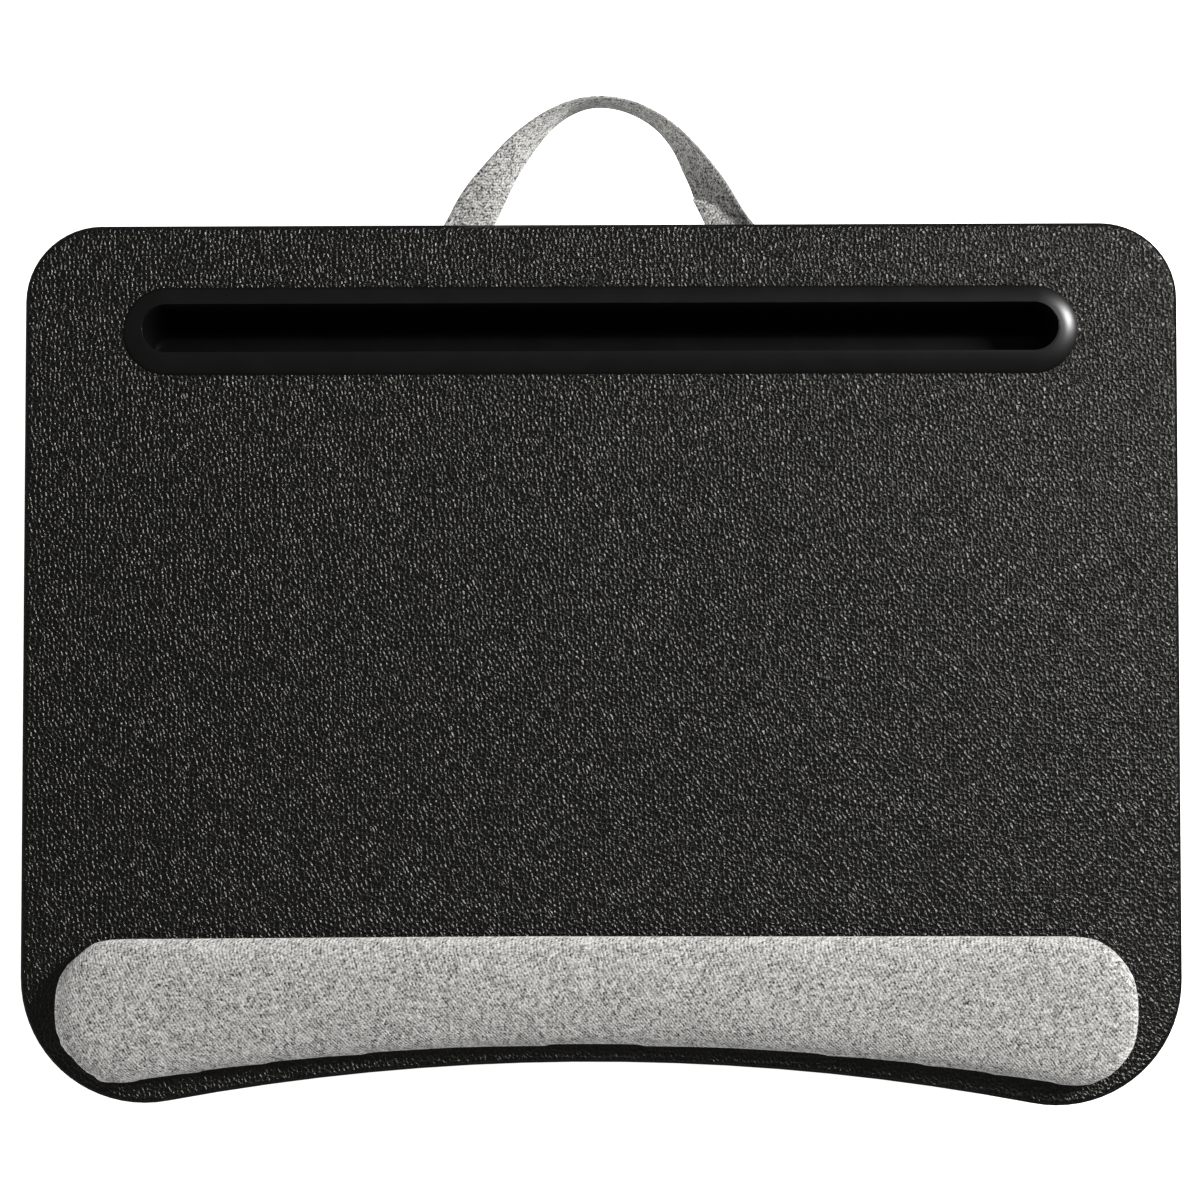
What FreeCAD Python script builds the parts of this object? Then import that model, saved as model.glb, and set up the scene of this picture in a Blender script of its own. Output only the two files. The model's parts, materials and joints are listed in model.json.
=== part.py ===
import FreeCAD, Part
import math
import os
from collections import namedtuple

# Lap tray: a leatherette-wrapped deck with a moulded tablet slot, a padded wrist rest along its
# drawn-in front edge, a two-lobed lap cushion underneath and a cloth carrying strap at the rear.
# Millimetres. +X is the user's right, +Y the rear, +Z up. The tray stands on z = 0, and the origin
# is under the middle of its whole length, strap included.

V = FreeCAD.Vector
UP = V(0, 0, 1)
ALONG_X = V(1, 0, 0)

# Deck
deck_width = 430.0
deck_depth = 327.0
deck_rear_radius = 28.5
deck_front_radius = 46.5
deck_front_recess = 15.6      # how far the front edge curves in at its middle
board_thickness = 6.0
skin_thickness = 0.8
hem_width = 26.0              # leatherette folded under the board, from the deck's edge inwards
top_edge_round = 2.6
under_edge_round = 1.6
glue_line = 0.2               # between any two pieces that are glued together

# Tablet slot
slot_side_margin = 37.0       # deck's side to the rim's end
slot_from_rear = 40.0         # deck's rear edge to the middle of the mouth
slot_width = 18.0             # clear mouth, front to rear
slot_depth = 20.0             # deck top to the trough's floor
slot_lean = 20.0              # degrees by which a tablet in the slot leans back
slot_draft = 0.6              # degrees
slot_wall = 1.8
slot_floor_round = 2.5
rim_width = 7.5               # mouth to the rim's outer edge
rim_height = 2.6              # deck top to the rim's crest at the mouth
rim_shoulder = 1.9            # deck top to the rim half way to its outer edge
slot_clearance = 0.5          # trough to the cut-out in the deck, all round
hook_spacing = 76.0
hooks_each_side = 4
hook_length = 12.0
hook_bite = 1.5               # how far a hook reaches under the deck
hook_height = 6.0
hook_tip = 1.2                # thickness of a hook at its tip
hook_play = 0.2               # between a hook and the board

# Wrist rest
rest_side_margin = 16.0       # deck's side to the rest's widest line
rest_rear_line = 62.6         # deck's front line to the rest's straight rear edge
rest_depth = 54.2             # rear edge to the front of the rest's ends
rest_corner_radius = 25.0
rest_front_recess = 13.0
rest_height = 16.0            # deck top to the crown
rest_widest = 5.2             # deck top to the rest's widest line
rest_tuck = 3.5               # how far the cover turns in under the widest line
rest_crown_inset = 14.0       # widest line to the flat of the crown
rest_cover_thickness = 1.2
rest_cover_hem = 5.0          # cover folded in under the foam
rest_base_thickness = 1.6
tape_thickness = 0.3

# Lap cushion
cushion_height = 52.0         # surface to the deck's underside
cushion_side_margin = 11.0    # deck's side to the cushion's widest line
cushion_rear_margin = 8.0
cushion_front_margin = 15.0   # deck's front line to the cushion's front corners
cushion_corner_radius = 46.0
cushion_side_recess = 4.0     # how far the sewn sides draw in between the corners
cushion_front_recess = 14.0
cushion_widest = 27.0         # surface to the cushion's widest line
cushion_tuck = 8.0            # how far the cover turns in to its seam with the panel
cushion_crown_inset = 34.0    # widest line to the flat that the tray stands on
cover_thickness = 1.2
cover_seam = 4.0              # seam allowance turned in under the panel
panel_thickness = 4.0
pocket_thickness = 1.2        # panel cloth dished round the trough
pocket_clearance = 1.0        # trough and hooks to the pocket
fill_clearance = 0.4
channel_depth = 20.0          # sewn channel between the cushion's two lobes
channel_shoulder = 18.0       # radius where a lobe turns into the channel
channel_valley = 5.0          # radius at the channel's seam
seam_gap = 0.1                # each side of the centre seam

# Carrying strap
strap_width = 16.8
strap_thickness = 2.4
strap_span = 97.0             # between the middles of its two ends
strap_reach = 49.0            # deck's rear edge to the outside of the loop
strap_held = 23.0             # deck's rear edge to the ends' inner edge, where the trough leaves room
strap_bend_offset = 2.2       # deck's rear edge to the line where the strap bends
strap_clearance = 0.3
strap_twist = 90.0            # degrees between a flat end and the middle of the loop
strap_twist_power = 2.7       # how late along the loop the twist eases off
strap_turn_share = 0.25       # share of each leg over which its sections turn square to its run
strap_leg_sections = 12       # flat-sided lengths from an end to the middle of the loop

# Places that follow from the sizes above
rear_y = (deck_depth - strap_reach) / 2
front_y = rear_y - deck_depth
deck_under = cushion_height
board_under = deck_under + skin_thickness + glue_line
board_top = board_under + board_thickness
deck_top = board_top + glue_line + skin_thickness
slot_y = rear_y - slot_from_rear
slot_length = deck_width - 2 * (slot_side_margin + rim_width)
slot_floor = deck_top - slot_depth
lean_slope = math.tan(math.radians(slot_lean))
draft_slope = math.tan(math.radians(slot_draft))
panel_top = deck_under - glue_line
panel_under = panel_top - panel_thickness
seam_z = panel_under - glue_line
strap_y = rear_y + strap_bend_offset
strap_z = panel_top - strap_thickness / 2
twist_angle = math.radians(strap_twist)
loop_half_depth = strap_thickness / 2 * math.sin(twist_angle) + strap_width / 2 * math.cos(twist_angle)
strap_rise = strap_reach - strap_bend_offset - loop_half_depth
leg_slope = strap_span / 4 / strap_rise        # sideways for each millimetre rearwards, at the deck's edge
leg_width = strap_width * math.hypot(1, leg_slope)     # along the line where the strap bends

EDGE_STEPS = 3
UNDER_STEPS = 2
TUCK_STEPS = 1
CROWN_STEPS = 3
BEYOND = 5.0                  # how far a cutting tool runs past what it cuts
LEAST_RADIUS = 1.0

Plan = namedtuple("Plan", "width rear front rear_radius front_radius rear_recess side_recess front_recess")

deck_plan = Plan(
    deck_width, rear_y, front_y, deck_rear_radius, deck_front_radius, 0, 0, deck_front_recess
)
rest_plan = Plan(
    deck_width - 2 * rest_side_margin,
    front_y + rest_rear_line,
    front_y + rest_rear_line - rest_depth,
    rest_corner_radius,
    rest_corner_radius,
    0,
    0,
    rest_front_recess,
)
cushion_plan = Plan(
    deck_width - 2 * cushion_side_margin,
    rear_y - cushion_rear_margin,
    front_y + cushion_front_margin,
    cushion_corner_radius,
    cushion_corner_radius,
    cushion_side_recess,
    cushion_side_recess,
    cushion_front_recess,
)


# Outlines

def grown(plan, by):
    """The plan with its outline moved outwards; a corner never gets sharper than the least radius."""
    return plan._replace(
        width=plan.width + 2 * by,
        rear=plan.rear + by,
        front=plan.front - by,
        rear_radius=max(plan.rear_radius + by, LEAST_RADIUS),
        front_radius=max(plan.front_radius + by, LEAST_RADIUS),
    )


def side_points(start, end, radius, end_radius, outward, recess):
    """Points of one side between two corner centres: its ends, and its middle too where it is drawn in."""
    if recess == 0:
        return [start + outward * radius, end + outward * end_radius]
    half_chord = (end - start).Length / 2
    curve = (half_chord**2 + (radius - recess) ** 2 - radius**2) / (2 * recess)
    centre = (start + end) * 0.5 + outward * (radius - recess + curve)
    return [
        start + (centre - start).normalize() * radius,
        centre - outward * curve,
        end + (centre - end).normalize() * radius,
    ]


def plan_wire(plan, grow, z):
    """Closed wire of a grown plan at height z: four corner arcs, joined by straight or drawn-in sides."""
    plan = grown(plan, grow)
    rear_x, rear_centre = plan.width / 2 - plan.rear_radius, plan.rear - plan.rear_radius
    front_x, front_centre = plan.width / 2 - plan.front_radius, plan.front + plan.front_radius
    centres = [
        V(rear_x, rear_centre, z),
        V(-rear_x, rear_centre, z),
        V(-front_x, front_centre, z),
        V(front_x, front_centre, z),
    ]
    radii = [plan.rear_radius, plan.rear_radius, plan.front_radius, plan.front_radius]
    outwards = [V(0, 1, 0), V(-1, 0, 0), V(0, -1, 0), V(1, 0, 0)]
    recesses = [plan.rear_recess, plan.side_recess, plan.front_recess, plan.side_recess]
    sides = [
        side_points(centres[i - 4], centres[i - 3], radii[i - 4], radii[i - 3], outwards[i], recesses[i])
        for i in range(4)
    ]
    edges = []
    for centre, radius, side_before, side in zip(centres, radii, sides[-1:] + sides[:-1], sides):
        arrive, leave = side_before[-1], side[0]
        bisector = (arrive + leave - centre * 2).normalize()
        edges.append(Part.Arc(arrive, centre + bisector * radius, leave).toShape())
        edges.append((Part.Arc if len(side) == 3 else Part.LineSegment)(*side).toShape())
    return Part.Wire(edges)


def stadium_wire(length, width, y, z):
    """Closed wire at height z: a slot with round ends along X."""
    run, radius = (length - width) / 2, width / 2
    return Part.Wire(
        [
            Part.LineSegment(V(-run, y - radius, z), V(run, y - radius, z)).toShape(),
            Part.Arc(V(run, y - radius, z), V(run + radius, y, z), V(run, y + radius, z)).toShape(),
            Part.LineSegment(V(run, y + radius, z), V(-run, y + radius, z)).toShape(),
            Part.Arc(V(-run, y + radius, z), V(-run - radius, y, z), V(-run, y - radius, z)).toShape(),
        ]
    )


def prism(wire, height):
    return Part.Face(wire).extrude(UP * height)


def box(x_range, y_range, z_range):
    low = V(x_range[0], y_range[0], z_range[0])
    return Part.makeBox(x_range[1] - low.x, y_range[1] - low.y, z_range[1] - low.z, low)


def stacked(plan, levels):
    """Solid through the plan's outline at each (inset, height), from one end to the other."""
    return Part.makeLoft([plan_wire(plan, -inset, z) for inset, z in levels], True, True)


def quarter(steps):
    """Angles of a quarter turn."""
    return [math.radians(90 * step / steps) for step in range(steps + 1)]


def rounded_slab(plan, inset, bottom, top, bottom_round, top_round):
    """Flat slab with rounded edges."""
    levels = []
    for turn in quarter(UNDER_STEPS):
        height = bottom + bottom_round * (1 - math.cos(turn))
        levels.append((inset + bottom_round * (1 - math.sin(turn)), height))
    for turn in quarter(EDGE_STEPS):
        height = top - top_round * (1 - math.sin(turn))
        levels.append((inset + top_round * (1 - math.cos(turn)), height))
    return stacked(plan, levels)


def pillow(plan, rim_z, widest_z, crown_z, tuck, crown_inset, shrink):
    """Stuffed form, `shrink` inside its outer surface: it turns in by `tuck` to its rim, and over its
    widest line it swells to the flat of its crown, `crown_inset` further in."""
    side = 1 if crown_z > widest_z else -1
    drop = rim_z - widest_z + side * shrink
    rise = crown_z - widest_z - side * shrink
    levels = []
    for turn in quarter(TUCK_STEPS)[:0:-1]:
        inset = tuck - (tuck - shrink) * math.cos(turn)
        levels.append((inset, widest_z + drop * math.sin(turn)))
    for turn in quarter(CROWN_STEPS):
        inset = crown_inset - (crown_inset - shrink) * math.cos(turn)
        levels.append((inset, widest_z + rise * math.sin(turn)))
    return stacked(plan, levels)


# Deck

def trough_y(z):
    """Middle of the leaning trough at height z."""
    return slot_y + (z - deck_top) * lean_slope


def trough_section(z, grow):
    grow = grow + (z - deck_top) * draft_slope
    return stadium_wire(slot_length + 2 * grow, slot_width + 2 * grow, trough_y(z), z)


def cut_out_limits():
    """Front and rear of the deck's cut-out: it clears the leaning trough through the whole deck."""
    reach = slot_width / 2 + slot_wall + slot_clearance
    return trough_y(deck_under) - reach, trough_y(deck_top) + reach


def round_the_trough(front, rear, bottom, top):
    """Block between a front and a rear, its round ends centred on the trough's."""
    length = slot_length - slot_width + rear - front
    return prism(stadium_wire(length, rear - front, (front + rear) / 2, bottom), top - bottom)


def cut_out():
    return round_the_trough(*cut_out_limits(), deck_under - BEYOND, deck_top + BEYOND)


def deck_board():
    wrap = skin_thickness + glue_line
    board = rounded_slab(
        deck_plan, wrap, board_under, board_top, under_edge_round - wrap, top_edge_round - wrap
    )
    return board.cut(cut_out())


def deck_skin():
    """Leatherette over the top, round the edges and folded under the board as a hem."""
    outside = rounded_slab(deck_plan, 0, deck_under, deck_top, under_edge_round, top_edge_round)
    inside = rounded_slab(
        deck_plan,
        skin_thickness,
        deck_under + skin_thickness,
        deck_top - skin_thickness,
        under_edge_round - skin_thickness,
        top_edge_round - skin_thickness,
    )
    hem_window = prism(plan_wire(deck_plan, -hem_width, deck_under - BEYOND), BEYOND + board_thickness / 2)
    hook_room = round_the_trough(*pocket_limits(0), deck_under - BEYOND, board_under)
    return outside.cut(inside).cut([hem_window, hook_room, cut_out()])


# Tablet slot

def slot_rim():
    """Ring round the mouth, which falls away outwards: one profile, run along the two sides and turned
    round the two ends."""
    run = (slot_length - slot_width) / 2
    inner, outer = slot_width / 2, slot_width / 2 + rim_width
    root = inner - slot_wall

    def at(radius, height):
        return V(run, slot_y + radius, deck_top + height)

    profile = Part.Wire(
        [
            Part.LineSegment(at(root, 0), at(outer, 0)).toShape(),
            Part.Arc(at(outer, 0), at((inner + outer) / 2, rim_shoulder), at(inner, rim_height)).toShape(),
            Part.LineSegment(at(inner, rim_height), at(root, rim_height)).toShape(),
            Part.LineSegment(at(root, rim_height), at(root, 0)).toShape(),
        ]
    )
    face = Part.Face(profile)
    side = face.extrude(ALONG_X * (-2 * run))
    end = face.revolve(V(run, slot_y, 0), UP, -180)
    other_side = side.mirror(V(0, slot_y, 0), V(0, 1, 0))
    other_end = end.mirror(V(0, 0, 0), ALONG_X)
    return side.multiFuse([end, other_side, other_end])


def snap_hook(x, facing):
    """Wedge on the trough's rear (facing 1) or front (facing -1) wall that catches under the deck."""
    front, rear = cut_out_limits()
    edge = rear if facing > 0 else front
    wall = facing * (slot_width / 2 + slot_wall / 2)
    top, foot = board_under - hook_play, board_under - hook_play - hook_height
    tip = edge + facing * hook_bite
    start = x - hook_length / 2
    points = [
        V(start, trough_y(top) + wall, top),
        V(start, tip, top),
        V(start, tip, top - hook_tip),
        V(start, trough_y(foot) + wall, foot),
    ]
    return Part.Face(Part.makePolygon(points + points[:1])).extrude(ALONG_X * hook_length)


def hook_places():
    first = -hook_spacing * (hooks_each_side - 1) / 2
    return [first + hook_spacing * i for i in range(hooks_each_side)]


def slot_insert():
    """Moulded trough, leaning forward as it goes down, with a rim on the deck and hooks under it."""
    wall_sections = [
        trough_section(slot_floor - slot_wall, slot_wall),
        trough_section(deck_top, slot_wall),
    ]
    wall = Part.makeLoft(wall_sections, True, True)
    cavity_sections = [
        trough_section(
            slot_floor + slot_floor_round * (1 - math.cos(turn)), -slot_floor_round * (1 - math.sin(turn))
        )
        for turn in quarter(UNDER_STEPS)
    ]
    cavity_sections.append(trough_section(deck_top + rim_height + BEYOND, 0))
    cavity = Part.makeLoft(cavity_sections, True, True)
    hooks = [snap_hook(x, facing) for x in hook_places() for facing in (-1, 1)]
    return wall.multiFuse([slot_rim()] + hooks).cut(cavity).removeSplitter()


# Wrist rest

def rest_pillow(shrink):
    return pillow(
        rest_plan,
        deck_top + tape_thickness,
        deck_top + rest_widest,
        deck_top + rest_height,
        rest_tuck,
        rest_crown_inset,
        shrink,
    )


def rest_base_plan(inset, bottom, height):
    return prism(plan_wire(rest_plan, -inset, bottom), height)


def wrist_rest_cover():
    """Cloth drawn over the foam and turned in under it, up to the stiff base."""
    window = rest_base_plan(rest_tuck + rest_cover_hem, deck_top - BEYOND, BEYOND + rest_widest)
    return rest_pillow(0).cut(rest_pillow(rest_cover_thickness)).cut(window)


def wrist_rest_base():
    inset = rest_tuck + rest_cover_hem + glue_line
    return rest_base_plan(inset, deck_top + tape_thickness, rest_base_thickness)


def wrist_rest_tape():
    inset = rest_tuck + rest_cover_hem + glue_line
    return rest_base_plan(inset, deck_top, tape_thickness)


def wrist_rest_foam():
    """Foam block that fills the cover and sits over the base."""
    foam = rest_pillow(rest_cover_thickness + glue_line)
    seat_height = tape_thickness + rest_base_thickness + glue_line
    seat = rest_base_plan(rest_tuck + rest_cover_hem, deck_top - BEYOND, BEYOND + seat_height)
    return foam.cut(seat)


# Lap cushion

def cushion_pillow(shrink):
    """The cushion's outside, or a form `shrink` inside it, with the channel between its two lobes."""
    form = pillow(
        cushion_plan, seam_z, cushion_widest, 0, cushion_tuck, cushion_crown_inset, shrink
    )
    return form.cut(channel_tool(shrink))


def channel_tool(grow):
    """Runs under the cushion from front to rear: two shoulders that turn in to a narrow valley."""
    shoulder, valley = channel_shoulder - grow, channel_valley + grow
    valley_z = channel_depth - channel_valley
    half = math.sqrt((channel_shoulder + channel_valley) ** 2 - (valley_z - channel_shoulder) ** 2)
    start = cushion_plan.front - BEYOND

    def at(x, z):
        return V(x, start, z)

    turn = math.atan2(half, channel_shoulder - valley_z)
    meet = at(half - shoulder * math.sin(turn), channel_shoulder - shoulder * math.cos(turn))
    middle = at(half - shoulder * math.sin(turn / 2), channel_shoulder - shoulder * math.cos(turn / 2))
    foot = at(half, grow)

    def mirrored(point):
        return at(-point.x, point.z)

    edges = [
        Part.Arc(foot, middle, meet),
        Part.Arc(meet, at(0, valley_z + valley), mirrored(meet)),
        Part.Arc(mirrored(meet), mirrored(middle), mirrored(foot)),
        Part.LineSegment(mirrored(foot), at(-half, -BEYOND)),
        Part.LineSegment(at(-half, -BEYOND), at(half, -BEYOND)),
        Part.LineSegment(at(half, -BEYOND), foot),
    ]
    length = cushion_plan.rear - cushion_plan.front + 2 * BEYOND
    return Part.Face(Part.Wire([e.toShape() for e in edges])).extrude(V(0, length, 0))


def pocket_limits(grow):
    """Front and rear of the panel's hollow: it clears the leaning trough and its hooks."""
    front, rear = cut_out_limits()
    floor_front = trough_y(slot_floor - slot_wall) - slot_width / 2 - slot_wall
    gap = pocket_clearance + grow
    return min(front - hook_bite, floor_front) - gap, rear + hook_bite + gap


def pocket(grow, top):
    """The panel's hollow round the trough, up to a height, grown by a thickness."""
    return round_the_trough(*pocket_limits(grow), slot_floor - slot_wall - pocket_clearance - grow, top)


def strap_end(side, grow):
    """Flat end of the strap, from under the panel to just short of the line where it bends. It runs on
    in the slant of its leg."""
    rear = strap_y - strap_thickness / 2 - strap_clearance + grow
    room = pocket_limits(pocket_thickness)[1] + strap_clearance
    front = max(rear_y - strap_held, room) - grow
    half = leg_width / 2 + grow

    def at(y, offset):
        x = side * (strap_span / 2 + leg_slope * (strap_y - y))
        return V(x + offset, y, strap_z - strap_thickness / 2 - grow)

    corners = [at(front, -half), at(front, half), at(rear, half), at(rear, -half)]
    return prism(Part.makePolygon(corners + corners[:1]), strap_thickness + 2 * grow)


def cushion_panel():
    """Foam-backed cloth glued under the deck: pressed up inside the hem, dished round the trough and
    pressed in where the strap's ends are sewn to it."""
    outline = plan_wire(cushion_plan, -cushion_tuck, panel_under)
    sheet = prism(outline, panel_thickness)
    inside_hem = prism(
        plan_wire(deck_plan, -hem_width - glue_line, panel_under), board_under - glue_line - panel_under
    )
    raised = inside_hem.common(prism(outline, board_under - panel_under))
    dish = pocket(pocket_thickness, panel_under + panel_thickness / 2)
    hollow = pocket(0, board_under + BEYOND)
    return sheet.multiFuse([raised, dish]).cut([hollow, strap_end(-1, glue_line), strap_end(1, glue_line)])


def half_space(facing, gap):
    """Everything on one side of the centre seam."""
    reach = deck_width
    x_range = (gap, reach) if facing > 0 else (-reach, -gap)
    return box(x_range, (-deck_depth, deck_depth), (-BEYOND, deck_top))


def cushion_cover():
    """Both cloth halves of the cover: an open shell with a seam allowance turned in at its top."""
    inset = cushion_tuck + cover_seam
    opening = prism(plan_wire(cushion_plan, -inset, cushion_widest), cushion_height - cushion_widest)
    return cushion_pillow(0).cut(cushion_pillow(cover_thickness)).cut(opening)


def cushion_fill():
    """Both bead bags, which fill the cover up to the panel and its pocket."""
    gap = cover_thickness + fill_clearance
    return cushion_pillow(gap).cut(pocket(pocket_thickness + fill_clearance, deck_under))


# Carrying strap

def strap_section(u):
    """Corners of the strap's section from u = 0 (middle of the loop) to 1 (right end): inner and outer edge
    of its lower side, then outer and inner edge of its upper side."""
    place = V(strap_span / 2 * u, strap_y + strap_rise * (1 - u**2), strap_z)
    along = V(strap_span / 2, -2 * strap_rise * u, 0).normalize()
    square = min((1 - u) / strap_turn_share, 1)
    outward = (V(-along.y, along.x, 0) * square + ALONG_X * (1 - square)).normalize()
    twist = twist_angle * (1 - u**strap_twist_power)
    across = outward * math.cos(twist) + UP * math.sin(twist)
    through = UP * math.cos(twist) - outward * math.sin(twist)
    half_width = across * (strap_width / 2 / across.cross(along).Length)
    half_thickness = through * (strap_thickness / 2)
    return [
        place - half_width - half_thickness,
        place + half_width - half_thickness,
        place + half_width + half_thickness,
        place - half_width + half_thickness,
    ]


def flat_face(*corners):
    return Part.Face(Part.makePolygon([*corners, corners[0]]))


def strap_leg():
    """Right half of the loop. Each twisted length is folded along the same diagonal on opposite sides."""
    sections = [strap_section(i / strap_leg_sections) for i in range(strap_leg_sections + 1)]
    faces = [flat_face(*sections[0]), flat_face(*sections[-1])]
    for near, far in zip(sections, sections[1:]):
        for i, j in ((0, 1), (1, 2), (3, 2), (0, 3)):
            faces.append(flat_face(near[i], near[j], far[j]))
            faces.append(flat_face(near[i], far[j], far[i]))
    bend_start = V((strap_span - leg_width) / 2, strap_y, strap_z)
    bend = Part.makeCylinder(strap_thickness / 2, leg_width, bend_start, ALONG_X)
    return Part.Solid(Part.makeShell(faces)).fuse(bend)


def strap_loop():
    """Free loop: flat where it bends at the deck's edge, twisted on edge at its middle."""
    leg = strap_leg()
    return leg.fuse(leg.mirror(V(0, 0, 0), ALONG_X))


def build():
    cover, fill = cushion_cover(), cushion_fill()
    return {
        "deck_board": deck_board(),
        "deck_skin": deck_skin(),
        "slot_insert": slot_insert(),
        "wrist_rest_tape": wrist_rest_tape(),
        "wrist_rest_base": wrist_rest_base(),
        "wrist_rest_foam": wrist_rest_foam(),
        "wrist_rest_cover": wrist_rest_cover(),
        "cushion_panel": cushion_panel(),
        "cushion_cover_left": cover.common(half_space(-1, seam_gap)),
        "cushion_cover_right": cover.common(half_space(1, seam_gap)),
        "cushion_fill_left": fill.common(half_space(-1, seam_gap + cover_thickness)),
        "cushion_fill_right": fill.common(half_space(1, seam_gap + cover_thickness)),
        "strap_end_left": strap_end(-1, 0),
        "strap_end_right": strap_end(1, 0),
        "strap_loop": strap_loop(),
    }


def main():
    os.makedirs("parts", exist_ok=True)
    for name, shape in build().items():
        bounds = shape.BoundBox
        print(
            f"{name}: {len(shape.Solids)} solid, {'valid' if shape.isValid() else 'NOT VALID'},"
            f" {shape.Volume / 1000:.2f} cm3,"
            f" x {bounds.XMin:.1f}..{bounds.XMax:.1f} y {bounds.YMin:.1f}..{bounds.YMax:.1f}"
            f" z {bounds.ZMin:.1f}..{bounds.ZMax:.1f}"
        )
        shape.exportStep(f"parts/{name}.step")


main()
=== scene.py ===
import json
import math

import bmesh
import bpy
from bpy.props import FloatProperty, FloatVectorProperty, IntProperty, PointerProperty
from mathutils import Matrix, Vector, noise
from mathutils.bvhtree import BVHTree


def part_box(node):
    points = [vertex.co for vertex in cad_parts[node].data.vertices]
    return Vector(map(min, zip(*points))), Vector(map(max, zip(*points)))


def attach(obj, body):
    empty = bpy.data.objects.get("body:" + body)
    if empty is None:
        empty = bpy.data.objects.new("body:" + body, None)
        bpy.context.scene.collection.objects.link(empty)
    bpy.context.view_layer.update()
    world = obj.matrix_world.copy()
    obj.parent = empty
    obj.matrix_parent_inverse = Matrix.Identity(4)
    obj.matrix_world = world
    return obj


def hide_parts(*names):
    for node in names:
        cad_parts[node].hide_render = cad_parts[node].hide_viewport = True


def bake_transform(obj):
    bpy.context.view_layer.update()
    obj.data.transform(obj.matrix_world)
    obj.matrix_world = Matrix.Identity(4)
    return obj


# Lap tray with a cushion. Metres, in the CAD frame: +X is the user's right, +Y the rear, +Z up.

bl_info = {
    "name": "Lap tray with cushion",
    "version": (1, 0, 0),
    "blender": (4, 5, 0),
    "location": "View3D > Sidebar > Lap tray",
    "description": "Builds the looks of a lap tray round its CAD frame",
    "category": "Object",
}

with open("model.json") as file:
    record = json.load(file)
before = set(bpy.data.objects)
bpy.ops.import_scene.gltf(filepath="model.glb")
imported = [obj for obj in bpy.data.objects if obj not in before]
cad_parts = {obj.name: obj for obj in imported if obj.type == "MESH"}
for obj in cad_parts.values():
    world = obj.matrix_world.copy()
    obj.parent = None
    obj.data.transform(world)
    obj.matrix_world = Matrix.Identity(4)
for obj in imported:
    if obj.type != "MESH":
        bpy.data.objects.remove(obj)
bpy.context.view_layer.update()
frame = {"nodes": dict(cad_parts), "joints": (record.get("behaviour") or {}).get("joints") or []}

# Places taken from the frame

MM = 0.001
DECK_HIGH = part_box("deck_skin")[1]
REST_LOW, REST_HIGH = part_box("wrist_rest_cover")
BASE_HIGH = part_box("wrist_rest_base")[1]
LOOP_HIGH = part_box("strap_loop")[1]
END_LOW, END_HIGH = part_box("strap_end_right")
COVER_LOW, COVER_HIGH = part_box("cushion_cover_right")
BEND = Vector(frame["joints"][0]["pos_m"])

MERGE_DISTANCE = 0.002 * MM
FLAT_ANGLE = math.radians(0.5)
SHARP_ANGLE = math.radians(40)
SIM_FRAMES = 20


# Sizes and colours

class DeckSettings(bpy.types.PropertyGroup):
    """Leatherette over the deck, and the moulded slot in it."""

    colour: FloatVectorProperty(
        name="Leatherette", description="Colour of the leatherette", subtype="COLOR",
        min=0, max=1, default=(0.007, 0.0069, 0.0066),
    )
    grain_width: FloatProperty(
        name="Grain width", description="Width of one mesh of the grain, side to side", unit="LENGTH",
        precision=4, default=1.7 * MM,
    )
    grain_length: FloatProperty(
        name="Grain length", description="Length of one mesh of the grain, front to rear", unit="LENGTH",
        precision=4, default=1.9 * MM,
    )
    grain_depth: FloatProperty(
        name="Grain depth", description="Height of the ridges between the meshes", unit="LENGTH",
        precision=5, default=0.32 * MM,
    )
    plastic_colour: FloatVectorProperty(
        name="Slot plastic", description="Colour of the moulded slot", subtype="COLOR",
        min=0, max=1, default=(0.003, 0.003, 0.0028),
    )
    slot_edge_round: FloatProperty(
        name="Slot edge round", description="Rounding of the slot's moulded edges", unit="LENGTH",
        precision=4, default=0.45 * MM,
    )


class WristRestSettings(bpy.types.PropertyGroup):
    """Padded wrist rest and its woven cloth."""

    light_yarn: FloatVectorProperty(
        name="Light yarn", description="Lightest yarn of the grey cloth", subtype="COLOR",
        min=0, max=1, default=(0.86, 0.85, 0.815),
    )
    dark_yarn: FloatVectorProperty(
        name="Dark yarn", description="Darkest yarn of the grey cloth", subtype="COLOR",
        min=0, max=1, default=(0.025, 0.0245, 0.0237),
    )
    yarn_width: FloatProperty(
        name="Yarn width", description="From one twill rib of the cloth to the next", unit="LENGTH",
        precision=5, default=1.12 * MM,
    )
    yarn_float: FloatProperty(
        name="Yarn float", description="Length over which one yarn shows", unit="LENGTH",
        precision=5, default=1.1 * MM,
    )
    voxel: FloatProperty(
        name="Voxel", description="Voxel size of the pad before it swells", unit="LENGTH",
        precision=4, default=3.0 * MM,
    )
    pressure: FloatProperty(
        name="Pressure", description="Pressure that swells the pad", default=4.0,
    )
    swell: FloatProperty(
        name="Swell", description="Most that the cloth may move as it swells", unit="LENGTH",
        precision=4, default=2.4 * MM,
    )
    pucker: FloatProperty(
        name="Pucker", description="Depth of the gathers at the rest's left end", unit="LENGTH",
        precision=4, default=0.8 * MM,
    )


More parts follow.
